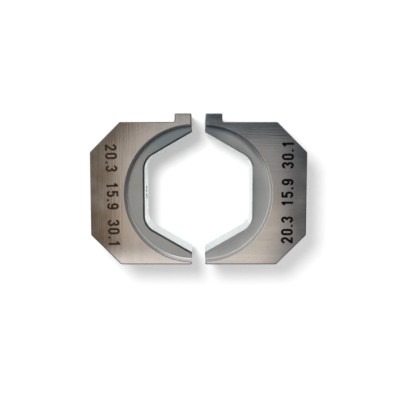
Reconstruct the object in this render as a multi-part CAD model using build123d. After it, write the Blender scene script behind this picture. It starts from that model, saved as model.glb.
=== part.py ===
from build123d import *
import math
import os

# Hexagonal crimping die set: two mirror-image steel halves that a press drives together.
# Frame in mm: X is the press direction, Y points toward the tabs, Z is the crimp axis.
# The origin is on the crimp axis, midway between the halves, on the face they lie on.

# Plate
THICKNESS = 15.9
BODY_HEIGHT = 30.1
BACK_DEPTH = 21.3
BACK_CHAMFER = 6.3
EDGE_BREAK = 0.25

# Retaining tab beside the parting face
TAB_WIDTH = 3.55
TAB_RISE = 1.75
TAB_ROOT_RADIUS = 0.4

# Half-hexagon nest, its mouth corners broken where they meet the parting face
ACROSS_FLATS = 20.3
MOUTH_HEIGHT = 25.9
FLANK_ANGLE = 30.0
NEST_CORNER_RADIUS = 3.4
NEST_EDGE_BREAK = 0.4
TOE_BREAK = 0.3

# Round relief, the same on both faces
RELIEF_DEPTH = 3.0
RELIEF_LIP = 0.6
RELIEF_CENTRE_SET = 0.35
RELIEF_ROOT_RADIUS = 0.5
RELIEF_MOUTH_BREAK = 0.12

# Opening between the parting faces at rest
REST_GAP = 2.9

half_height = BODY_HEIGHT / 2
nest_depth = ACROSS_FLATS / 2
nest_mouth = MOUTH_HEIGHT / 2
nest_flat = nest_mouth - nest_depth * math.tan(math.radians(FLANK_ANGLE))
relief_radius = math.hypot(half_height - RELIEF_LIP, RELIEF_CENTRE_SET)
relief_floors = (RELIEF_DEPTH, THICKNESS - RELIEF_DEPTH)

# How far a cutter runs past the surface it opens
OVERSHOOT = 1.0


def plate_outline():
    """Half-octagon plate with its tab, parting face on X = 0 and the back toward +X."""
    body = Polygon(
        (0, -half_height),
        (BACK_DEPTH - BACK_CHAMFER, -half_height),
        (BACK_DEPTH, -half_height + BACK_CHAMFER),
        (BACK_DEPTH, half_height - BACK_CHAMFER),
        (BACK_DEPTH - BACK_CHAMFER, half_height),
        (TAB_WIDTH, half_height),
        (TAB_WIDTH, half_height + TAB_RISE),
        (0, half_height + TAB_RISE),
        align=None,
    )
    root = [v for v in body.vertices() if abs(v.X - TAB_WIDTH) < 1e-6 and abs(v.Y - half_height) < 1e-6]
    corners = [v for v in body.vertices() if v not in root]
    body = chamfer(corners, EDGE_BREAK)
    root = [v for v in body.vertices() if abs(v.X - TAB_WIDTH) < 1e-6 and abs(v.Y - half_height) < 1e-6]
    return fillet(root, TAB_ROOT_RADIUS)


def nest_outline(grow=0.0):
    """Half-hexagon nest, carried on past the parting face so that its cut opens it."""
    slope = math.tan(math.radians(FLANK_ANGLE))
    reach = grow / math.cos(math.radians(FLANK_ANGLE))
    depth = nest_depth + grow
    mouth = nest_mouth + reach
    flat = mouth - depth * slope
    toe = TOE_BREAK * math.cos(math.radians(FLANK_ANGLE))
    rise = TOE_BREAK * math.sin(math.radians(FLANK_ANGLE))
    past = mouth + TOE_BREAK + OVERSHOOT * (TOE_BREAK + rise) / toe
    outline = Polygon(
        (-OVERSHOOT, -past),
        (toe, rise - mouth),
        (depth, -flat),
        (depth, flat),
        (toe, mouth - rise),
        (-OVERSHOOT, past),
        align=None,
    )
    corners = [v for v in outline.vertices() if abs(v.X - depth) < 1e-6]
    return fillet(corners, NEST_CORNER_RADIUS + grow)


def plate():
    """Plate and tab with the break round both faces and down the corners."""
    blank = extrude(plate_outline(), THICKNESS)
    rims = blank.edges().filter_by(lambda e: e.bounding_box().size.Z < 1e-6)
    return chamfer(rims, EDGE_BREAK)


def relief(floor, outward):
    """Round pocket with a filleted root and a broken mouth, open toward the given face (outward is 1 or -1)."""
    depth = RELIEF_DEPTH + OVERSHOOT
    drum = Cylinder(relief_radius, depth)
    root = drum.edges().filter_by(GeomType.CIRCLE).sort_by(Axis.Z)[0]
    drum = fillet(root, RELIEF_ROOT_RADIUS)
    mouth_level = RELIEF_DEPTH - depth / 2
    flare = Cone(relief_radius, relief_radius + RELIEF_MOUTH_BREAK, RELIEF_MOUTH_BREAK)
    drum += Pos(0, 0, mouth_level - RELIEF_MOUTH_BREAK / 2) * flare
    if outward < 0:
        drum = Rot(180, 0, 0) * drum
    return Pos(-RELIEF_CENTRE_SET, 0, floor + outward * depth / 2) * drum


def nest_edge_break(floor, outward):
    """Sloped ring that breaks the nest's edge where it meets one relief floor."""
    narrow = Plane.XY.offset(floor - outward * NEST_EDGE_BREAK) * nest_outline()
    wide = Plane.XY.offset(floor) * nest_outline(NEST_EDGE_BREAK)
    return loft([narrow, wide] if outward > 0 else [wide, narrow])


def ram_side_half():
    """The half on the +X side, its parting face on X = 0."""
    half = plate()
    for floor, outward in zip(relief_floors, (-1, 1)):
        half -= relief(floor, outward)
    half -= extrude(nest_outline(), THICKNESS)
    for floor, outward in zip(relief_floors, (-1, 1)):
        half -= nest_edge_break(floor, outward)
    return half


ram_die = Pos(REST_GAP / 2, 0, 0) * ram_side_half()
head_die = mirror(ram_die, about=Plane.YZ)

os.makedirs("parts", exist_ok=True)
export_step(ram_die, "parts/die_ram.step")
export_step(head_die, "parts/die_head.step")
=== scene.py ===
import logging
import math
from dataclasses import dataclass, field
from enum import Enum
from functools import lru_cache
from typing import Callable, Union

import bmesh
import bpy
from mathutils import Matrix, Vector


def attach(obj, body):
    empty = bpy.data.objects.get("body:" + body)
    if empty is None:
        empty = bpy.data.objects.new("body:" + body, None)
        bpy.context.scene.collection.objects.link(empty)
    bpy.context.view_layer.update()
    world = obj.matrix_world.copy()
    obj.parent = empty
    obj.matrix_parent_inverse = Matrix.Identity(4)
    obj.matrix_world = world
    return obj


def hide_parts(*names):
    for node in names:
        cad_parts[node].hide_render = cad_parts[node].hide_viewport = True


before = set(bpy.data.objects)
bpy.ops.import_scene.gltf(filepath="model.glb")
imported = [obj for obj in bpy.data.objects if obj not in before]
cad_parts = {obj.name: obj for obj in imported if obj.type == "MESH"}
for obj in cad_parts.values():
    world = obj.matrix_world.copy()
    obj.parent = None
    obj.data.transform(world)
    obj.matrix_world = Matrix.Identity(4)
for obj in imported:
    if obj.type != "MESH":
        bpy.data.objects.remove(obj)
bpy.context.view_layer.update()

MM = 0.001

# Millimetres: corners closer than MERGE become one, and places within NEAR of each other count as one.
MERGE = 1e-5
NEAR = 1e-4

Color = tuple[float, float, float]
Place = tuple[float, float, float]
Range = tuple[float, float]
Stops = tuple[tuple[float, Color], ...]
Wire = Union[bpy.types.NodeSocket, float, Color]

log = logging.getLogger("die_set")


class Side(Enum):
    """Which jaw of the press carries a half: the value is its sign along X."""

    HEAD = -1
    RAM = 1


class Grain(Enum):
    """How the tool left its lines: the value stretches the pattern along each axis."""

    ALONG_X = (0.05, 1.0, 1.0)
    ALONG_Y = (1.0, 0.05, 1.0)
    ALONG_Z = (1.0, 1.0, 0.05)
    RINGS = (1.0, 1.0, 0.0)


class NodeBench:
    """Adds nodes to one node tree and wires them."""

    def __init__(self, tree: bpy.types.NodeTree) -> None:
        """Clears the tree for new nodes."""
        self.tree = tree
        tree.nodes.clear()

    def add(self, kind: str, **settings: object) -> bpy.types.Node:
        """Adds a node.

        Args:
            kind: The node's type name.
            settings: Attributes of the node.

        Returns:
            The node.
        """
        node = self.tree.nodes.new(kind)
        for name, value in settings.items():
            setattr(node, name, value)
        return node

    def feed(self, socket: bpy.types.NodeSocket, value: Wire) -> None:
        """Links a socket to another, or sets its number or colour.

        Args:
            socket: The input.
            value: An output socket, a number or a colour.
        """
        if isinstance(value, bpy.types.NodeSocket):
            self.tree.links.new(value, socket)
        elif isinstance(value, tuple) and len(socket.default_value) == 4:
            socket.default_value = (*value, 1.0)
        else:
            socket.default_value = value

    def math(self, operation: str, *values: Wire) -> bpy.types.NodeSocket:
        """Adds a sum on numbers.

        Args:
            operation: Blender's name for the operation.
            values: Its inputs.

        Returns:
            The result.
        """
        node = self.add("ShaderNodeMath", operation=operation)
        for socket, value in zip(node.inputs, values):
            self.feed(socket, value)
        return node.outputs[0]

    def span(
        self, value: Wire, low: float, high: float, start: float = 0.0, end: float = 1.0,
        smooth: bool = False,
    ) -> bpy.types.NodeSocket:
        """Maps a range of numbers onto another and holds it at both ends.

        Args:
            value: The number to map.
            low: Where the range starts.
            high: Where it ends.
            start: Result at its start.
            end: Result at its end.
            smooth: Whether the step between them is smooth.

        Returns:
            The mapped number.
        """
        node = self.add("ShaderNodeMapRange", interpolation_type="SMOOTHSTEP" if smooth else "LINEAR")
        for name, number in (("From Min", low), ("From Max", high), ("To Min", start), ("To Max", end)):
            node.inputs[name].default_value = number
        self.feed(node.inputs["Value"], value)
        return node.outputs["Result"]

    def ramp(self, value: Wire, stops: Stops) -> bpy.types.NodeSocket:
        """Turns a number into a colour.

        Args:
            value: The number.
            stops: Numbers in rising order, each with its colour.

        Returns:
            The colour.
        """
        low, high = stops[0][0], stops[-1][0]
        node = self.add("ShaderNodeValToRGB")
        marks = node.color_ramp.elements
        marks[0].position, marks[0].color = 0.0, (*stops[0][1], 1.0)
        marks[1].position, marks[1].color = 1.0, (*stops[-1][1], 1.0)
        for number, color in stops[1:-1]:
            marks.new((number - low) / (high - low)).color = (*color, 1.0)
        self.feed(node.inputs["Fac"], self.span(value, low, high))
        return node.outputs["Color"]

    def blend(self, share: Wire, first: Wire, second: Wire, mode: str = "MIX") -> bpy.types.NodeSocket:
        """Mixes two colours.

        Args:
            share: How much of the second.
            first: The first colour.
            second: The second colour.
            mode: Blender's name for the way they mix.

        Returns:
            The mixed colour.
        """
        node = self.add("ShaderNodeMix", data_type="RGBA", blend_type=mode)
        self.feed(node.inputs["Factor"], share)
        self.feed(node.inputs["A"], first)
        self.feed(node.inputs["B"], second)
        return node.outputs["Result"]

    def noise(self, vector: bpy.types.NodeSocket, scale: float, detail: float = 1.0) -> bpy.types.NodeSocket:
        """Adds a noise pattern.

        Args:
            vector: Where it is read.
            scale: Cells per metre.
            detail: Octaves.

        Returns:
            The pattern, from 0 to 1 and mostly near a half.
        """
        node = self.add("ShaderNodeTexNoise")
        node.inputs["Scale"].default_value = scale
        node.inputs["Detail"].default_value = detail
        self.feed(node.inputs["Vector"], vector)
        return node.outputs["Fac"]

    def place(self) -> bpy.types.NodeSocket:
        """Adds the object coordinates."""
        return self.add("ShaderNodeTexCoord").outputs["Object"]

    def distance(self, place: bpy.types.NodeSocket, point: Place) -> bpy.types.NodeSocket:
        """Measures how far places lie from a point.

        Args:
            place: Object coordinates.
            point: The point, in millimetres.

        Returns:
            The distance in metres.
        """
        node = self.add("ShaderNodeVectorMath", operation="DISTANCE")
        self.feed(node.inputs[0], place)
        node.inputs[1].default_value = Vector(point) * MM
        return node.outputs["Value"]

    def bump(self, height: Wire, strength: float, rise: float) -> bpy.types.NodeSocket:
        """Adds a bump.

        Args:
            height: The pattern that stands up.
            strength: How much of it shows.
            rise: Its height in millimetres.

        Returns:
            The bumped normal.
        """
        node = self.add("ShaderNodeBump")
        node.inputs["Strength"].default_value = strength
        node.inputs["Distance"].default_value = rise * MM
        self.feed(node.inputs["Height"], height)
        return node.outputs["Normal"]

    def show(self, shader: bpy.types.Node, output: str = "ShaderNodeOutputMaterial") -> None:
        """Makes a shader the surface that the tree shows.

        Args:
            shader: The shader's node.
            output: Type name of the output node.
        """
        self.feed(self.add(output).inputs["Surface"], shader.outputs[0])


def new_material(name: str) -> tuple[bpy.types.Material, NodeBench]:
    """Starts a node material.

    Args:
        name: Its name.

    Returns:
        The material, and the bench for its empty tree.
    """
    mat = bpy.data.materials.new(name)
    mat.use_nodes = True
    return mat, NodeBench(mat.node_tree)


@dataclass(frozen=True)
class PaintedShade:
    """Painted shade: a darkening colour, multiplied in, that stands in for shade and dark reflections. It
    fades out away from its heart and may keep to the relief's rim, in millimetres.
    """

    shade_tint: Color
    near: float
    far: float
    heart: Place = (0.0, 15.0, 12.9)
    rim: Union[Range, None] = None

    def share(
        self, bench: NodeBench, place: bpy.types.NodeSocket, radius: Union[bpy.types.NodeSocket, None]
    ) -> bpy.types.NodeSocket:
        """Works out how much of the painted shade shows.

        Args:
            bench: The material's nodes.
            place: Object coordinates.
            radius: Distance from the relief's centre, or None on a finish that isn't turned.

        Returns:
            The share, 1 near the heart and 0 beyond the painted shade.
        """
        away = bench.distance(place, self.heart)
        share = bench.span(away, self.near * MM, self.far * MM, 1.0, 0.0, smooth=True)
        if self.rim is not None and radius is not None:
            inner, outer = self.rim
            share = bench.math("MULTIPLY", share, bench.span(radius, inner * MM, outer * MM, smooth=True))
        return share


@dataclass(frozen=True)
class SteelFinish:
    """A bare steel surface: tool lines, broad bands, clouds, pits and a fine bump, with painted rim light on
    turned finishes and painted shade laid over in places.

    Scales are in cells per metre, lengths in millimetres. A share says how strongly a pattern shows.
    """

    name: str
    pale: Color
    deep: Color
    roughness: float
    grain: Grain
    line_scale: float = 3000.0
    line_share: float = 0.35
    band_scale: float = 500.0
    band_share: float = 0.5
    cloud_scale: float = 160.0
    cloud_share: float = 0.6
    cloud_range: Range = (0.3, 0.7)
    pit_scale: float = 2600.0
    pit_step: Range = (0.66, 0.74)
    pit_share: float = 0.20
    pit_tone: float = 0.35
    # Painted light: a turned finish grows lighter toward the relief's rim and darker toward its middle.
    painted_rim_light: float = 0.0
    rim_band: Range = (11.2, 14.2)
    metallic: float = 1.0
    roughness_swing: float = 0.04
    bump: float = 0.15
    bump_height: float = 0.02
    bump_band_share: float = 0.6
    ring_centre: float = 0.0
    # Painted shade, multiplied into the colour.
    painted_shades: tuple[PaintedShade, ...] = ()

    def material(self) -> bpy.types.Material:
        """Builds the node material.

        Returns:
            The steel, lined along its grain.
        """
        mat, bench = new_material(self.name)
        place = bench.place()
        along = self._grain_place(bench, place)
        lines = bench.noise(along, self.line_scale, detail=3.0)
        bands = bench.noise(along, self.band_scale)
        clouds = bench.noise(place, self.cloud_scale, detail=3.0)
        pits = bench.span(bench.noise(place, self.pit_scale), *self.pit_step, 0.0, self.pit_share)

        tone: Wire = 0.5
        patterns = ((lines, self.line_share), (bands, self.band_share), (clouds, self.cloud_share))
        for pattern, share in patterns:
            swing = bench.math("MULTIPLY_ADD", pattern, 2.0 * share, -share)
            tone = bench.math("ADD", tone, swing)
        radius = None
        if self.grain is Grain.RINGS:
            rings = bench.add("ShaderNodeSeparateXYZ")
            bench.feed(rings.inputs["Vector"], along)
            radius = rings.outputs["X"]
            # Painted light: lighter toward the relief's rim, darker toward its middle.
            inner, outer = self.rim_band
            rim_light = bench.span(radius, inner * MM, outer * MM, -self.painted_rim_light, self.painted_rim_light)
            tone = bench.math("ADD", tone, rim_light)
        color = bench.ramp(tone, ((0.0, self.deep), (1.0, self.pale)))
        color = bench.blend(pits, color, tuple(self.pit_tone * c for c in self.deep))
        # Painted shade, multiplied into the colour.
        for painted_shade in self.painted_shades:
            color = bench.blend(painted_shade.share(bench, place, radius), color, painted_shade.shade_tint, "MULTIPLY")

        smoothest = self.roughness - self.roughness_swing
        roughest = self.roughness + self.roughness_swing
        height = bench.math("MULTIPLY_ADD", bands, self.bump_band_share, lines)

        steel = bench.add("ShaderNodeBsdfPrincipled")
        steel.inputs["Metallic"].default_value = self.metallic
        bench.feed(steel.inputs["Base Color"], color)
        bench.feed(steel.inputs["Roughness"], bench.span(clouds, *self.cloud_range, smoothest, roughest))
        bench.feed(steel.inputs["Normal"], bench.bump(height, self.bump, self.bump_height))
        bench.show(steel)
        return mat

    def _grain_place(self, bench: NodeBench, place: bpy.types.NodeSocket) -> bpy.types.NodeSocket:
        """Stretches the pattern along the grain, or winds it round the relief's centre.

        Args:
            bench: The material's nodes.
            place: Object coordinates.

        Returns:
            The place at which the lines are read, whose X is the distance from the centre for wound lines.
        """
        node = bench.add("ShaderNodeMapping")
        node.inputs["Scale"].default_value = self.grain.value
        bench.feed(node.inputs["Vector"], place)
        if self.grain is not Grain.RINGS:
            return node.outputs["Vector"]
        node.inputs["Location"].default_value = (-self.ring_centre * MM, 0.0, 0.0)
        radius = bench.add("ShaderNodeVectorMath", operation="LENGTH")
        bench.feed(radius.inputs[0], node.outputs["Vector"])
        rings = bench.add("ShaderNodeCombineXYZ")
        bench.feed(rings.inputs["X"], radius.outputs["Value"])
        return rings.outputs["Vector"]


@dataclass(frozen=True)
class MarkFinish:
    """Dark etched numerals, slightly uneven. The scale is in cells per metre, the height in millimetres."""

    name: str
    deep: Color
    pale: Color
    roughness: float = 0.55
    shine: float = 0.12
    grit_scale: float = 1400.0
    grit_range: Range = (0.35, 0.70)
    grit_bump: float = 0.2
    grit_height: float = 0.03

    def material(self) -> bpy.types.Material:
        """Builds the node material.

        Returns:
            The dark mark.
        """
        mat, bench = new_material(self.name)
        grit = bench.noise(bench.place(), self.grit_scale, detail=3.0)
        low, high = self.grit_range
        mark = bench.add("ShaderNodeBsdfPrincipled")
        mark.inputs["Roughness"].default_value = self.roughness
        mark.inputs["Specular IOR Level"].default_value = self.shine
        bench.feed(mark.inputs["Base Color"], bench.ramp(grit, ((low, self.deep), (high, self.pale))))
        bench.feed(mark.inputs["Normal"], bench.bump(grit, self.grit_bump, self.grit_height))
        bench.show(mark)
        return mat


@lru_cache(maxsize=None)
def material_of(finish: Union[SteelFinish, MarkFinish]) -> bpy.types.Material:
    """Builds a finish's material once and shares it from then on.

    Args:
        finish: The finish.

    Returns:
        Its material.
    """
    return finish.material()


@dataclass(frozen=True)
class DieFinishes:
    """The finishes of one half."""

    face: SteelFinish
    flank: SteelFinish
    edge: SteelFinish
    relief: SteelFinish
    relief_wall: SteelFinish
    relief_mouth: SteelFinish
    nest: SteelFinish
    nest_edge: SteelFinish
    nest_flank: SteelFinish
    mark: MarkFinish


@dataclass(frozen=True)
class DieSizes:
    """Sizes of one half in millimetres and degrees, parting face on X = 0 and back toward +X."""

    thickness: float = 15.9
    body_height: float = 30.1
    back_depth: float = 21.3
    back_chamfer: float = 6.3
    edge_break: float = 0.25
    tab_width: float = 3.55
    tab_rise: float = 1.75
    tab_root_radius: float = 0.4
    across_flats: float = 20.3
    mouth_height: float = 25.9
    flank_angle: float = 30.0
    toe_break: float = 0.3
    nest_corner_radius: float = 3.4
    nest_edge_break: float = 0.4
    relief_depth: float = 3.0
    relief_lip: float = 0.6
    relief_centre_set: float = 0.35
    relief_root_radius: float = 0.5
    relief_mouth_break: float = 0.12
    rest_gap: float = 2.9

    @property
    def half_height(self) -> float:
        """Half the body's height."""
        return self.body_height / 2

    @property
    def nest_depth(self) -> float:
        """Depth of the nest from the parting face to its back flat."""
        return self.across_flats / 2

    @property
    def relief_radius(self) -> float:
        """Radius of the round relief, which leaves the lip at the parting face."""
        return math.hypot(self.half_height - self.relief_lip, self.relief_centre_set)


@dataclass(frozen=True)
class Stroke:
    """One pull of the engraver: places on its centre line in millimetres, each with its handle's reach."""

    places: tuple[tuple[float, float, float, float], ...]
    closed: bool = False
    steps: int = 7
    tip_steps: int = 2

    def groove(self, width: float, depth: float) -> bmesh.types.BMesh:
        """Sweeps the engraver's round tip along the stroke.

        Args:
            width: Width of the groove at the face.
            depth: Depth of the groove.

        Returns:
            The groove's closed cutter, its middle in the face.
        """
        curve = bpy.data.curves.new("stroke", "CURVE")
        curve.dimensions = "3D"
        curve.bevel_depth = width / 2
        curve.bevel_resolution = self.tip_steps
        curve.resolution_u = self.steps
        curve.use_fill_caps = True
        line = curve.splines.new("BEZIER")
        line.bezier_points.add(len(self.places) - 1)
        for point, (x, y, reach_x, reach_y) in zip(line.bezier_points, self.places):
            point.co = (x, y, 0.0)
            point.handle_left = (x - reach_x, y - reach_y, 0.0)
            point.handle_right = (x + reach_x, y + reach_y, 0.0)
        line.use_cyclic_u = self.closed
        holder = bpy.data.objects.new("stroke", curve)
        bm = bmesh.new()
        bm.from_mesh(bpy.data.meshes.new_from_object(holder))
        bpy.data.objects.remove(holder)
        bmesh.ops.scale(bm, verts=bm.verts[:], vec=(1.0, 1.0, 2 * depth / width))
        bmesh.ops.remove_doubles(bm, verts=bm.verts[:], dist=MERGE)
        return bm


# Height at which a digit's centre line turns, in millimetres. Its foot is at 0.
TOP = 2.05

SIGNS: dict[str, tuple[Stroke, ...]] = {
    "0": (
        Stroke((
            (-0.45, 0.47, 0, 0.26), (-0.45, 1.58, 0, 0.26), (0, TOP, 0.25, 0),
            (0.45, 1.58, 0, -0.26), (0.45, 0.47, 0, -0.26), (0, 0, -0.25, 0),
        ), closed=True),
    ),
    "1": (
        Stroke(((0.08, -0.2, 0, 0.3), (0.08, 2.25, 0, 0.3))),
        Stroke(((-0.42, 1.52, 0.1, 0.1), (0.0, 1.98, 0.1, 0.1))),
    ),
    "2": (
        Stroke((
            (-0.45, 1.45, 0, 0.33), (0, TOP, 0.25, 0), (0.45, 1.45, 0, -0.42), (-0.42, 0.05, -0.14, -0.36),
        )),
        Stroke(((-0.65, 0, 0.2, 0), (0.65, 0, 0.2, 0))),
    ),
    "3": (
        Stroke(((-0.45, 1.55, 0, 0.28), (0, TOP, 0.25, 0), (0.42, 1.58, 0, -0.26), (-0.1, 1.1, -0.2, 0))),
        Stroke(((-0.1, 1.1, 0.28, 0), (0.45, 0.55, 0, -0.3), (0, 0, -0.25, 0), (-0.45, 0.5, 0, 0.28))),
    ),
    "5": (
        Stroke(((-0.57, TOP, 0.2, 0), (0.58, TOP, 0.2, 0))),
        Stroke(((-0.38, 2.13, 0, -0.2), (-0.41, 0.93, 0, -0.2))),
        Stroke((
            (-0.37, 1.05, 0.10, 0.14), (0.01, 1.28, 0.22, 0), (0.45, 0.64, 0, -0.32), (0, 0, -0.25, 0),
            (-0.45, 0.48, 0, 0.26),
        )),
    ),
    "9": (
        Stroke((
            (-0.45, 1.42, 0, 0.34), (0, TOP, 0.25, 0), (0.45, 1.42, 0, -0.34), (0, 0.82, -0.25, 0),
        ), closed=True),
        Stroke(((0.45, 1.42, 0, -0.3), (0.45, 0.6, 0, -0.32), (0, 0, -0.25, 0), (-0.45, 0.46, 0, 0.25))),
    ),
    ".": (Stroke(((0, -0.2, 0, 0.1), (0, 0.24, 0, 0.1))),),
}


@dataclass(frozen=True)
class Numerals:
    """A line of plain numbers engraved in a face: millimetres, and degrees about X, Y and Z.

    The place is the line's middle. Without a finish of its own, it takes the half's mark.
    """

    text: str
    place: Place
    turn: tuple[float, float, float]
    pitch: float = 1.76
    point_pitch: float = 0.88
    stroke: float = 0.45
    depth: float = 0.09
    finish: Union[MarkFinish, None] = None

    def advance(self, sign: str) -> float:
        """Room that a sign takes along the line."""
        return self.point_pitch if sign == "." else self.pitch

    def grooves(self) -> list[bmesh.types.BMesh]:
        """Sets the signs in line and puts them in their place.

        Returns:
            One closed cutter for each stroke.
        """
        made = []
        along = -sum(map(self.advance, self.text)) / 2
        for sign in self.text:
            room = self.advance(sign)
            for stroke in SIGNS.get(sign, ()):
                bm = stroke.groove(self.stroke, self.depth)
                bmesh.ops.translate(bm, verts=bm.verts[:], vec=(along + room / 2, -TOP / 2, 0.0))
                self._place(bm)
                made.append(bm)
            along += room
        return made

    def _place(self, bm: bmesh.types.BMesh) -> None:
        """Turns and moves one groove from the line's own frame to the face.

        Args:
            bm: The groove's cutter.
        """
        for axis, angle in zip("XYZ", self.turn):
            spin = Matrix.Rotation(math.radians(angle), 3, axis)
            bmesh.ops.rotate(bm, verts=bm.verts[:], cent=(0, 0, 0), matrix=spin)
        bmesh.ops.translate(bm, verts=bm.verts[:], vec=self.place)
        bmesh.ops.recalc_face_normals(bm, faces=bm.faces[:])


def mesh_object(bm: bmesh.types.BMesh, name: str) -> bpy.types.Object:
    """Turns a bmesh into a linked object and frees it.

    Args:
        bm: The shape.
        name: Name of the mesh and the object.

    Returns:
        The object, at the origin.
    """
    mesh = bpy.data.meshes.new(name)
    bm.to_mesh(mesh)
    bm.free()
    obj = bpy.data.objects.new(name, mesh)
    bpy.context.scene.collection.objects.link(obj)
    return obj


def plan(outline: list[tuple[float, float]], base: float) -> bmesh.types.BMesh:
    """Starts a shape from its plan outline.

    Args:
        outline: Corners of the plan.
        base: Height of the plan.

    Returns:
        The shape, with one flat face.
    """
    bm = bmesh.new()
    bm.faces.new([bm.verts.new((x, y, base)) for x, y in outline])
    return bm


def raise_cap(
    bm: bmesh.types.BMesh, cap: bmesh.types.BMFace, rise: float, keep_base: bool = False
) -> bmesh.types.BMFace:
    """Extrudes a cap straight up.

    Args:
        bm: The shape.
        cap: The face to raise.
        rise: Distance along Z.
        keep_base: Whether the cap stays as the bottom of the new walls.

    Returns:
        The raised face.
    """
    grown = bmesh.ops.extrude_face_region(bm, geom=[cap])["geom"]
    top = next(g for g in grown if isinstance(g, bmesh.types.BMFace))
    bmesh.ops.translate(bm, verts=list(top.verts), vec=(0.0, 0.0, rise))
    if not keep_base:
        bmesh.ops.delete(bm, geom=[cap], context="FACES_ONLY")
    return top


def bevel(bm: bmesh.types.BMesh, geom: list, offset: float, segments: int, affect: str = "EDGES") -> None:
    """Bevels edges or corners with a round profile.

    Args:
        bm: The shape.
        geom: Edges or vertices.
        offset: How far the bevel reaches along the neighbours.
        segments: Its steps.
        affect: EDGES or VERTICES.
    """
    bmesh.ops.bevel(
        bm, geom=geom, offset=offset, offset_type="OFFSET", affect=affect, segments=segments,
        profile=0.5, material=-1,
    )


def round_corners(
    bm: bmesh.types.BMesh, corners: list[bmesh.types.BMVert], radius: float, steps: int
) -> None:
    """Rounds corners of a plan face.

    Args:
        bm: The shape, still flat.
        corners: Vertices to round.
        radius: Radius of the round.
        steps: Segments of each round.
    """
    for corner in corners:
        a, b = (e.other_vert(corner).co - corner.co for e in corner.link_edges)
        bevel(bm, [corner], radius / math.tan(a.angle(b) / 2), steps, "VERTICES")


def cut(target: bpy.types.Object, cutters: list[bpy.types.Object]) -> None:
    """Cuts shapes out of an object and removes the cutters.

    Args:
        target: The object that is cut.
        cutters: Closed shapes; their materials pass to the faces that they leave.

    Raises:
        RuntimeError: If nothing is left of the object.
    """
    for cutter in cutters:
        mod = target.modifiers.new(cutter.name, "BOOLEAN")
        mod.operation = "DIFFERENCE"
        mod.solver = "EXACT"
        mod.object = cutter
        mod.material_mode = "TRANSFER"
    graph = bpy.context.evaluated_depsgraph_get()
    made = bpy.data.meshes.new_from_object(target.evaluated_get(graph))
    if not made.polygons:
        raise RuntimeError(f"a cut left nothing of {target.name}")
    target.modifiers.clear()
    target.data = made
    for cutter in cutters:
        bpy.data.objects.remove(cutter)


# How far a face's normal leans, as its share along Z, or along Y for the nest's flanks. The finishes are
# told apart by it.
FLAT_LEAN = 0.99
UPRIGHT_LEAN = 0.01
RELIEF_WALL_LEAN = 0.8
NEST_EDGE_LEAN = (0.2, 0.9)
NEST_FLANK_LEAN = 0.5


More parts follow.
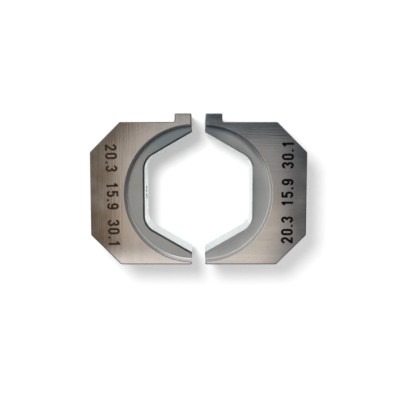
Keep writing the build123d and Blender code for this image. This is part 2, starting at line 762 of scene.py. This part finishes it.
@dataclass
class DieHalf:
    """One steel half of the die set. Its meshes are built in millimetres and end in metres."""

    name: str
    node: str
    body: str
    slot: str
    side: Side
    finishes: DieFinishes
    numerals: list[Numerals]
    sizes: DieSizes = field(default_factory=DieSizes)
    tab_root_steps: int = 5
    edge_break_steps: int = 2
    nest_corner_steps: int = 12
    relief_steps: int = 256
    relief_root_steps: int = 8
    broken_angle: float = 40.0
    sharp_angle: float = 20.0
    overshoot: float = 1.0

    def blank(self) -> bpy.types.Object:
        """Builds the plate with its back chamfers, tab and broken edges.

        Returns:
            The blank of the half on the +X side, in millimetres, its faces, flanks and edges told apart.
        """
        s = self.sizes
        h, d, c = s.half_height, s.back_depth, s.back_chamfer
        bm = plan(
            [(0, -h), (d - c, -h), (d, c - h), (d, h - c), (d - c, h),
             (s.tab_width, h), (s.tab_width, h + s.tab_rise), (0, h + s.tab_rise)],
            0.0,
        )
        root = [v for v in bm.verts if (v.co - Vector((s.tab_width, h, 0.0))).length < NEAR]
        round_corners(bm, root, s.tab_root_radius, self.tab_root_steps)
        raise_cap(bm, bm.faces[:][0], s.thickness, keep_base=True)
        bmesh.ops.recalc_face_normals(bm, faces=bm.faces[:])
        sharp = [e for e in bm.edges if e.calc_face_angle() > math.radians(self.broken_angle)]
        bevel(bm, sharp, s.edge_break, self.edge_break_steps)
        bm.normal_update()
        for face in bm.faces:
            lean = abs(face.normal.z)
            face.material_index = 0 if lean > FLAT_LEAN else 1 if lean < UPRIGHT_LEAN else 2
        blank = mesh_object(bm, f"{self.name}_blank")
        for finish in (self.finishes.face, self.finishes.flank, self.finishes.edge):
            blank.data.materials.append(material_of(finish))
        return blank

    def relief(self, upper: bool) -> bpy.types.Object:
        """Builds the cutter of one round relief with its rounded root and broken mouth.

        Args:
            upper: Whether it opens toward the upper face.

        Returns:
            The cutter.
        """
        s = self.sizes
        depth = s.relief_depth - s.relief_mouth_break
        bm = bmesh.new()
        bmesh.ops.create_cone(
            bm, cap_ends=True, segments=self.relief_steps, radius1=s.relief_radius,
            radius2=s.relief_radius, depth=depth,
        )
        bmesh.ops.translate(bm, verts=bm.verts[:], vec=(0.0, 0.0, depth / 2))
        root = [e for e in bm.edges if all(v.co.z < NEAR for v in e.verts)]
        bevel(bm, root, s.relief_root_radius, self.relief_root_steps)
        mouth = next(f for f in bm.faces if all(v.co.z > depth - NEAR for v in f.verts))
        mouth = raise_cap(bm, mouth, s.relief_mouth_break)
        flare = 1 + s.relief_mouth_break / s.relief_radius
        bmesh.ops.scale(bm, verts=list(mouth.verts), vec=(flare, flare, 1.0))
        raise_cap(bm, mouth, self.overshoot)
        bm.normal_update()
        for face in bm.faces:
            lowest = min(v.co.z for v in face.verts)
            upright = abs(face.normal.z) < RELIEF_WALL_LEAN
            face.material_index = 2 if lowest > depth - NEAR else 1 if upright else 0
        if not upper:
            turn = Matrix.Rotation(math.pi, 3, "X")
            bmesh.ops.rotate(bm, verts=bm.verts[:], cent=(0, 0, 0), matrix=turn)
        floor = s.thickness - s.relief_depth if upper else s.relief_depth
        bmesh.ops.translate(bm, verts=bm.verts[:], vec=(-s.relief_centre_set, 0.0, floor))
        bmesh.ops.recalc_face_normals(bm, faces=bm.faces[:])
        finishes = (self.finishes.relief, self.finishes.relief_wall, self.finishes.relief_mouth)
        return self._cutter(bm, "relief_upper" if upper else "relief_lower", *finishes)

    def nest(self) -> bpy.types.Object:
        """Builds the cutter of the half-hexagon nest with the breaks at both relief floors.

        Returns:
            The cutter.
        """
        s = self.sizes
        tilt = math.radians(s.flank_angle)
        deep = s.nest_depth + s.nest_edge_break
        mouth = s.mouth_height / 2 + s.nest_edge_break / math.cos(tilt)
        flat = mouth - deep * math.tan(tilt)
        side = [
            (deep, flat),
            (s.toe_break * math.cos(tilt), mouth - s.toe_break * math.sin(tilt)),
            (-self.overshoot, mouth + s.toe_break + self.overshoot / math.tan(tilt)),
        ]
        bm = plan([(x, -y) for x, y in reversed(side)] + side, -self.overshoot)
        corners = [v for v in bm.verts if v.co.x > s.nest_depth]
        round_corners(bm, corners, s.nest_corner_radius + s.nest_edge_break, self.nest_corner_steps)
        cap = raise_cap(bm, bm.faces[:][0], s.relief_depth + self.overshoot, keep_base=True)
        bmesh.ops.recalc_face_normals(bm, faces=bm.faces[:])
        bmesh.ops.inset_region(
            bm, faces=[cap], thickness=s.nest_edge_break, depth=s.nest_edge_break, use_even_offset=True,
        )
        cap = raise_cap(bm, cap, s.thickness / 2 - s.relief_depth - s.nest_edge_break)
        bmesh.ops.delete(bm, geom=[cap], context="FACES_ONLY")
        bmesh.ops.mirror(
            bm, geom=bm.verts[:] + bm.edges[:] + bm.faces[:],
            matrix=Matrix.Translation((0.0, 0.0, s.thickness / 2)).inverted(), merge_dist=MERGE, axis="Z",
        )
        bmesh.ops.remove_doubles(bm, verts=bm.verts[:], dist=MERGE)
        bmesh.ops.recalc_face_normals(bm, faces=bm.faces[:])
        bm.normal_update()
        least, most = NEST_EDGE_LEAN
        for face in bm.faces:
            sloped = least < abs(face.normal.z) < most
            face.material_index = 1 if sloped else 2 if abs(face.normal.y) > NEST_FLANK_LEAN else 0
        finishes = (self.finishes.nest, self.finishes.nest_edge, self.finishes.nest_flank)
        return self._cutter(bm, "nest", *finishes)

    def build(self) -> bpy.types.Object:
        """Models the half, dresses it, hangs it on its body's empty and hides its CAD node.

        Returns:
            The finished piece.
        """
        half = self.blank()
        cut(half, [self.relief(True), self.relief(False), self.nest()])
        self._stand(half)
        cut(half, [
            self._cutter(groove, f"groove_{number}", line.finish or self.finishes.mark)
            for line in self.numerals
            for number, groove in enumerate(line.grooves())
        ])
        self._smooth(half)
        half.name = half.data.name = self.name
        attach(half, self.body)
        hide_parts(self.node)
        return half

    def _cutter(
        self, bm: bmesh.types.BMesh, form: str, *finishes: Union[SteelFinish, MarkFinish]
    ) -> bpy.types.Object:
        """Names a cutter and gives it the finishes that it leaves.

        Args:
            bm: The cutter's shape.
            form: What it cuts.
            finishes: The finishes of the faces that it cuts.

        Returns:
            The cutter.
        """
        cutter = mesh_object(bm, f"{self.name}_{form}")
        for finish in finishes:
            cutter.data.materials.append(material_of(finish))
        return cutter

    def _stand(self, half: bpy.types.Object) -> None:
        """Moves the half to its side of the gap, mirrored for the head side.

        Args:
            half: The half, its parting face on X = 0.
        """
        bm = bmesh.new()
        bm.from_mesh(half.data)
        bmesh.ops.translate(bm, verts=bm.verts[:], vec=(self.sizes.rest_gap / 2, 0.0, 0.0))
        if self.side is Side.HEAD:
            bmesh.ops.scale(bm, verts=bm.verts[:], vec=(-1.0, 1.0, 1.0))
            bmesh.ops.reverse_faces(bm, faces=bm.faces[:])
        bm.to_mesh(half.data)
        bm.free()

    def _smooth(self, half: bpy.types.Object) -> None:
        """Scales the mesh to metres and shades rounds smooth and edges sharp.

        Args:
            half: The half, in millimetres.
        """
        bm = bmesh.new()
        bm.from_mesh(half.data)
        bmesh.ops.remove_doubles(bm, verts=bm.verts[:], dist=NEAR)
        bmesh.ops.scale(bm, verts=bm.verts[:], vec=(MM, MM, MM))
        for face in bm.faces:
            face.smooth = True
        bm.to_mesh(half.data)
        bm.free()
        half.data.set_sharp_from_angle(angle=math.radians(self.sharp_angle))


@dataclass(frozen=True)
class StudioSky:
    """The studio round the die set, with an open bright side and a dim side opposite.

    The bright side lies at room_turn degrees from +X toward +Y, and an even grey band fades in toward the
    horizon. Straight above hang two cards side by side, which the flat faces mirror. Places on them are
    slopes off the vertical, u toward +X and v toward +Y. The head half's card changes along u and is toned
    along v by its fade. The ram half's changes along v and is toned along u by its edge. Toward -Y each
    card droops: its pair holds the v where that starts and the shift in u for each step of v from there.
    Above head_swerve, the head half's card leans over. The camera sees plain white.
    """

    room: Stops = (
        (-0.75, (0.09, 0.10, 0.11)),
        (-0.40, (0.17, 0.18, 0.20)),
        (0.00, (0.38, 0.39, 0.40)),
        (0.40, (0.66, 0.67, 0.67)),
        (0.80, (0.98, 0.98, 0.96)),
    )
    room_turn: float = 120.0
    horizon: Color = (0.55, 0.56, 0.57)
    horizon_step: Range = (0.55, 0.15)
    horizon_share: float = 0.55
    least_height: float = 0.05
    card_seam: float = 0.005
    card_reach: Range = (0.245, 0.30)
    head_card: Stops = (
        (-0.192, (0.105, 0.10, 0.075)),
        (-0.178, (0.17, 0.125, 0.085)),
        (-0.160, (0.21, 0.16, 0.12)),
        (-0.148, (0.30, 0.25, 0.20)),
        (-0.134, (0.66, 0.61, 0.565)),
        (-0.110, (0.70, 0.665, 0.64)),
        (0.000, (0.56, 0.56, 0.57)),
    )
    head_swerve: float = -0.005
    head_droop: Range = (-0.10, 0.04)
    head_strip: Color = (1.37, 1.37, 1.37)
    head_strip_step: Range = (-0.181, -0.199)
    head_fade: Stops = (
        (-0.172, (0.86, 0.86, 0.87)),
        (-0.145, (1.10, 1.04, 0.98)),
        (-0.085, (1.08, 1.08, 1.09)),
        (0.000, (1.05, 1.06, 1.10)),
        (0.050, (1.00, 1.05, 1.13)),
        (0.085, (0.22, 0.27, 0.31)),
    )
    ram_card: Stops = (
        (-0.240, (1.40, 1.33, 1.25)),
        (-0.205, (1.00, 0.945, 0.88)),
        (-0.165, (0.89, 0.82, 0.74)),
        (-0.120, (0.76, 0.69, 0.61)),
        (-0.080, (0.57, 0.53, 0.51)),
        (0.000, (0.49, 0.49, 0.50)),
        (0.022, (0.135, 0.158, 0.183)),
        (0.045, (0.04, 0.075, 0.10)),
    )
    ram_edge: Stops = (
        (0.120, (1.0, 1.0, 1.0)),
        (0.140, (0.80, 0.82, 0.85)),
        (0.160, (0.24, 0.27, 0.31)),
        (0.185, (0.12, 0.15, 0.18)),
    )
    ram_droop: Range = (-0.14, 0.22)
    matt_share: float = 0.40

    def build(self) -> None:
        """Sets the scene's world."""
        world = bpy.data.worlds.new("studio_sky")
        world.use_nodes = True
        bench = NodeBench(world.node_tree)
        split = bench.add("ShaderNodeSeparateXYZ")
        bench.feed(split.inputs["Vector"], bench.add("ShaderNodeTexCoord").outputs["Generated"])
        x, y, z = split.outputs
        height = bench.math("MAXIMUM", z, self.least_height)
        u = bench.math("DIVIDE", x, height)
        v = bench.math("DIVIDE", y, height)
        squares = bench.math("MULTIPLY_ADD", u, u, bench.math("MULTIPLY", v, v))
        beside = bench.span(bench.math("SQRT", squares), *self.card_reach, smooth=True)
        sky = bench.blend(beside, self._overhead(bench, u, v), self._around(bench, x, y, z))

        path = bench.add("ShaderNodeLightPath")
        lit = bench.add("ShaderNodeBackground")
        strength = bench.span(path.outputs["Is Diffuse Ray"], 0.0, 1.0, 1.0, self.matt_share)
        bench.feed(lit.inputs["Color"], sky)
        bench.feed(lit.inputs["Strength"], strength)
        white = bench.add("ShaderNodeBackground")
        bench.feed(white.inputs["Color"], (1.0, 1.0, 1.0))
        mix = bench.add("ShaderNodeMixShader")
        bench.feed(mix.inputs["Fac"], path.outputs["Is Camera Ray"])
        bench.feed(mix.inputs[1], lit.outputs[0])
        bench.feed(mix.inputs[2], white.outputs[0])
        bench.show(mix, "ShaderNodeOutputWorld")
        bpy.context.scene.world = world

    def _overhead(
        self, bench: NodeBench, u: bpy.types.NodeSocket, v: bpy.types.NodeSocket
    ) -> bpy.types.NodeSocket:
        """Lays the two cards side by side.

        Args:
            bench: The sky's nodes.
            u: Slope toward +X.
            v: Slope toward +Y.

        Returns:
            The cards' colour.
        """
        swerve = bench.math("MAXIMUM", bench.math("SUBTRACT", v, self.head_swerve), 0.0)
        along = bench.math("SUBTRACT", u, swerve)
        along = bench.math("SUBTRACT", along, self._droop(bench, v, self.head_droop))
        head = bench.ramp(along, self.head_card)
        head = bench.blend(bench.span(v, *self.head_strip_step, smooth=True), head, self.head_strip)
        head = bench.blend(1.0, head, bench.ramp(v, self.head_fade), "MULTIPLY")
        edge = bench.ramp(bench.math("ADD", u, self._droop(bench, v, self.ram_droop)), self.ram_edge)
        ram = bench.blend(1.0, bench.ramp(v, self.ram_card), edge, "MULTIPLY")
        return bench.blend(bench.span(u, -self.card_seam, self.card_seam), head, ram)

    @staticmethod
    def _droop(bench: NodeBench, v: bpy.types.NodeSocket, droop: Range) -> bpy.types.NodeSocket:
        """Works out how far a card has drooped at each v.

        Args:
            bench: The sky's nodes.
            v: Slope toward +Y.
            droop: Where the droop starts, and its share of the way on from there.

        Returns:
            The shift along u.
        """
        start, share = droop
        return bench.math("MULTIPLY", bench.math("MAXIMUM", bench.math("SUBTRACT", start, v), 0.0), share)

    def _around(
        self, bench: NodeBench, x: bpy.types.NodeSocket, y: bpy.types.NodeSocket, z: bpy.types.NodeSocket
    ) -> bpy.types.NodeSocket:
        """Colours the room by the direction that it lies in.

        Args:
            bench: The sky's nodes.
            x: Share of the direction along X.
            y: Share of the direction along Y.
            z: Share of the direction along Z.

        Returns:
            The room's colour.
        """
        turn = math.radians(self.room_turn)
        facing = bench.math("MULTIPLY_ADD", y, math.sin(turn), bench.math("MULTIPLY", x, math.cos(turn)))
        low = bench.span(z, *self.horizon_step, 0.0, self.horizon_share, smooth=True)
        return bench.blend(low, bench.ramp(facing, self.room), self.horizon)


@dataclass(frozen=True)
class NearLamp:
    """A round soft lamp close above the die set, so that the edges far from it cast the widest shadows.

    Steel doesn't mirror it. The place and the radius are in millimetres.
    """

    name: str = "near_lamp"
    place: Place = (-30.0, 41.7, 155.0)
    radius: float = 19.5
    power: float = 0.87

    def build(self) -> bpy.types.Object:
        """Creates the lamp.

        Returns:
            The lamp object.
        """
        data = bpy.data.lights.new(self.name, "POINT")
        data.shadow_soft_size = self.radius * MM
        data.energy = self.power
        lamp = bpy.data.objects.new(self.name, data)
        lamp.location = Vector(self.place) * MM
        lamp.visible_glossy = False
        lamp.visible_camera = False
        bpy.context.scene.collection.objects.link(lamp)
        return lamp

    def on_floor(self, bench: NodeBench, albedo: float) -> bpy.types.NodeSocket:
        """Works out how brightly the lamp alone shows a matt floor at each place.

        Args:
            bench: The floor's nodes.
            albedo: The floor's share of light sent back.

        Returns:
            The brightness, which falls with the cube of the distance.
        """
        away = bench.distance(bench.place(), self.place)
        at_one_metre = albedo * self.power * self.place[2] * MM / (4 * math.pi**2)
        return bench.math("MULTIPLY", bench.math("POWER", away, -3.0), at_one_metre)


@dataclass(frozen=True)
class PaleFloor:
    """Pale matt floor that reads as evenly white and keeps the soft shadow.

    Its glow makes up for the lamp's falloff. The width is in metres.
    """

    lamp: NearLamp
    width: float = 3.0
    albedo: float = 0.6
    white: float = 0.93

    def build(self) -> bpy.types.Object:
        """Creates the floor.

        Returns:
            The floor object, marked as stage.
        """
        bm = bmesh.new()
        bmesh.ops.create_grid(bm, x_segments=4, y_segments=4, size=self.width / 2)
        floor = mesh_object(bm, "studio_floor")
        mat, bench = new_material("pale_floor")
        matt = bench.add("ShaderNodeBsdfDiffuse")
        bench.feed(matt.inputs["Color"], (self.albedo, self.albedo, self.albedo))
        path = bench.add("ShaderNodeLightPath")
        seen = bench.math("MAXIMUM", path.outputs["Is Camera Ray"], path.outputs["Is Glossy Ray"])
        seen = bench.math("MAXIMUM", seen, path.outputs["Is Transmission Ray"])
        rest = bench.math("SUBTRACT", self.white, self.lamp.on_floor(bench, self.albedo))
        glow = bench.add("ShaderNodeEmission")
        bench.feed(glow.inputs["Strength"], bench.math("MULTIPLY", seen, rest))
        both = bench.add("ShaderNodeAddShader")
        bench.feed(both.inputs[0], matt.outputs[0])
        bench.feed(both.inputs[1], glow.outputs[0])
        bench.show(both)
        floor.data.materials.append(mat)
        return floor


@dataclass(frozen=True)
class Viewpoint:
    """The photograph's viewpoint: nearly overhead, leaning from the tab side. Millimetres and degrees."""

    place: Place = (0.31, 10.08, 137.2)
    lean: float = 5.34
    focal_length: float = 52.2
    sensor_width: float = 36.0

    def build(self) -> bpy.types.Object:
        """Creates the camera and makes it the scene's.

        Returns:
            The camera object.
        """
        data = bpy.data.cameras.new("camera")
        data.lens = self.focal_length
        data.sensor_width = self.sensor_width
        data.clip_start = 0.01
        data.clip_end = 10.0
        camera = bpy.data.objects.new("camera", data)
        camera.location = Vector(self.place) * MM
        camera.rotation_euler = (math.radians(-self.lean), 0.0, 0.0)
        bpy.context.scene.collection.objects.link(camera)
        bpy.context.scene.camera = camera
        return camera


SIZES = DieSizes()
RELIEF_CENTRE = SIZES.rest_gap / 2 - SIZES.relief_centre_set

WARM_FACE = SteelFinish(
    "warm_ground_face", (0.70, 0.64, 0.58), (0.58, 0.53, 0.475), 0.10, Grain.ALONG_Y, line_share=0.22,
)
COOL_FACE = SteelFinish(
    "cool_ground_face", (0.65, 0.62, 0.59), (0.52, 0.50, 0.48), 0.105, Grain.ALONG_X, line_share=0.40,
)
FLANK = SteelFinish("ground_flank", (0.62, 0.59, 0.55), (0.46, 0.44, 0.41), 0.30, Grain.ALONG_Z)
# Painted shade: dark steel on the edge breaks and on the head half's relief mouth, standing in for dark
# reflections.
PAINTED_SHADE_EDGE = SteelFinish(
    "painted_shade_edge", (0.26, 0.27, 0.25), (0.17, 0.18, 0.165), 0.28, Grain.ALONG_Z, pit_share=0.1,
)
# Painted shade: the relief floor is darker and bluer toward the tab.
WARM_RELIEF = SteelFinish(
    "warm_milled_relief", (0.39, 0.38, 0.36), (0.29, 0.285, 0.27), 0.24, Grain.RINGS,
    line_share=0.2, band_share=0.2, metallic=0.5, ring_centre=-RELIEF_CENTRE,
    painted_shades=(PaintedShade((0.61, 0.73, 0.81), 8.0, 16.0),),
)
# Painted light: lighter toward the rim and darker toward the middle. Painted shade: darker and bluer toward
# the tab, and darker along the rim's upper right.
COOL_RELIEF = SteelFinish(
    "cool_milled_relief", (0.43, 0.43, 0.42), (0.24, 0.25, 0.25), 0.24, Grain.RINGS,
    line_share=0.15, band_share=0.1, cloud_share=0.4, painted_rim_light=0.35, metallic=0.5, ring_centre=RELIEF_CENTRE,
    painted_shades=(
        PaintedShade((0.43, 0.53, 0.60), 3.0, 9.0),
        PaintedShade((0.42, 0.44, 0.48), 4.0, 10.0, heart=(8.6, 12.4, 12.9), rim=(13.2, 14.05)),
    ),
)
# Near-white wall under painted shade everywhere but at its lowest point, which is left bright as a painted
# highlight.
WARM_RELIEF_WALL = SteelFinish(
    "warm_relief_wall", (0.93, 0.92, 0.90), (0.82, 0.815, 0.80), 0.40, Grain.ALONG_Z, metallic=0.1,
    painted_shades=(PaintedShade((0.54, 0.545, 0.555), 28.4, 29.6),),
)
# Painted shade: the wall is darker and bluer toward the tab. The ram half's relief mouth takes this finish
# too.
COOL_RELIEF_WALL = SteelFinish(
    "cool_relief_wall", (0.52, 0.51, 0.495), (0.46, 0.45, 0.44), 0.50, Grain.ALONG_Z, metallic=0.1,
    painted_shades=(PaintedShade((0.37, 0.41, 0.46), 12.0, 19.0),),
)
# Painted light: near-white steel standing in for the glare on the nest's walls.
PAINTED_LIGHT_NEST_WALL = SteelFinish("painted_light_nest_wall", (0.97, 0.99, 0.98), (0.91, 0.94, 0.93), 0.46, Grain.ALONG_Z)
# Painted shade: a darker copy of the nest wall's near-white steel.
SHADED_NEST_FLANK = SteelFinish("painted_shade_nest_flank", (0.83, 0.86, 0.86), (0.74, 0.78, 0.78), 0.46, Grain.ALONG_Z)
# Painted shade: the breaks along the nest's edges are dark, darker on the head half, standing in for dark
# reflections.
PAINTED_SHADE_NEST_EDGE = SteelFinish("painted_shade_nest_edge", (0.16, 0.19, 0.18), (0.06, 0.08, 0.075), 0.30, Grain.ALONG_Z)
PAINTED_GREY_SHADE_NEST_EDGE = SteelFinish("painted_grey_shade_nest_edge", (0.50, 0.51, 0.51), (0.36, 0.37, 0.37), 0.30, Grain.ALONG_Z)
BROWN_MARK = MarkFinish("brown_mark", (0.016, 0.009, 0.005), (0.050, 0.028, 0.017))
BLACK_MARK = MarkFinish("black_mark", (0.0015, 0.0015, 0.002), (0.006, 0.006, 0.007), shine=0.06)
GREY_MARK = MarkFinish("grey_mark", (0.14, 0.14, 0.14), (0.24, 0.24, 0.235))

WARM_HALF = DieFinishes(
    face=WARM_FACE, flank=FLANK, edge=PAINTED_SHADE_EDGE,
    relief=WARM_RELIEF, relief_wall=WARM_RELIEF_WALL, relief_mouth=PAINTED_SHADE_EDGE,
    nest=PAINTED_LIGHT_NEST_WALL, nest_edge=PAINTED_SHADE_NEST_EDGE, nest_flank=SHADED_NEST_FLANK, mark=BROWN_MARK,
)
COOL_HALF = DieFinishes(
    face=COOL_FACE, flank=FLANK, edge=PAINTED_SHADE_EDGE,
    relief=COOL_RELIEF, relief_wall=COOL_RELIEF_WALL, relief_mouth=COOL_RELIEF_WALL,
    nest=PAINTED_LIGHT_NEST_WALL, nest_edge=PAINTED_GREY_SHADE_NEST_EDGE, nest_flank=SHADED_NEST_FLANK, mark=BLACK_MARK,
)

PLAIN_NUMBERS = f"{SIZES.across_flats} {SIZES.thickness} {SIZES.body_height}"


def die_halves() -> list[DieHalf]:
    """Lays out the two halves.

    Returns:
        The head half and the ram half.
    """
    face = SIZES.thickness
    nest_wall = -(SIZES.rest_gap / 2 + SIZES.nest_depth)
    return [
        DieHalf(
            name="head_half_steel", node="die_head", body="head_half", slot="head_steel", side=Side.HEAD,
            finishes=WARM_HALF,
            numerals=[
                Numerals(PLAIN_NUMBERS, (-18.05, -0.4, face), (0.0, 0.0, -88.6)),
                Numerals("20", (nest_wall, -0.3, face / 2), (90.0, 0.0, 90.0), pitch=1.6, finish=GREY_MARK),
            ],
        ),
        DieHalf(
            name="ram_half_steel", node="die_ram", body="ram_half", slot="ram_steel", side=Side.RAM,
            finishes=COOL_HALF,
            numerals=[Numerals(PLAIN_NUMBERS, (18.66, 0.3, face), (0.0, 0.0, 90.0), stroke=0.50)],
        ),
    ]


def studio() -> list[Callable[[], object]]:
    """Lists what lights and shows the die set.

    Returns:
        The builders of the sky, the lamp, the floor and the camera.
    """
    lamp = NearLamp()
    return [StudioSky().build, lamp.build, PaleFloor(lamp).build, Viewpoint().build]


def main() -> None:
    logging.basicConfig(level=logging.INFO)
    bpy.context.scene.view_settings.view_transform = "Standard"
    for half in die_halves():
        piece = half.build()
        log.info("%s: %d faces on %s", piece.name, len(piece.data.polygons), half.body)
    for make in studio():
        make()


if __name__ == "__main__":
    main()
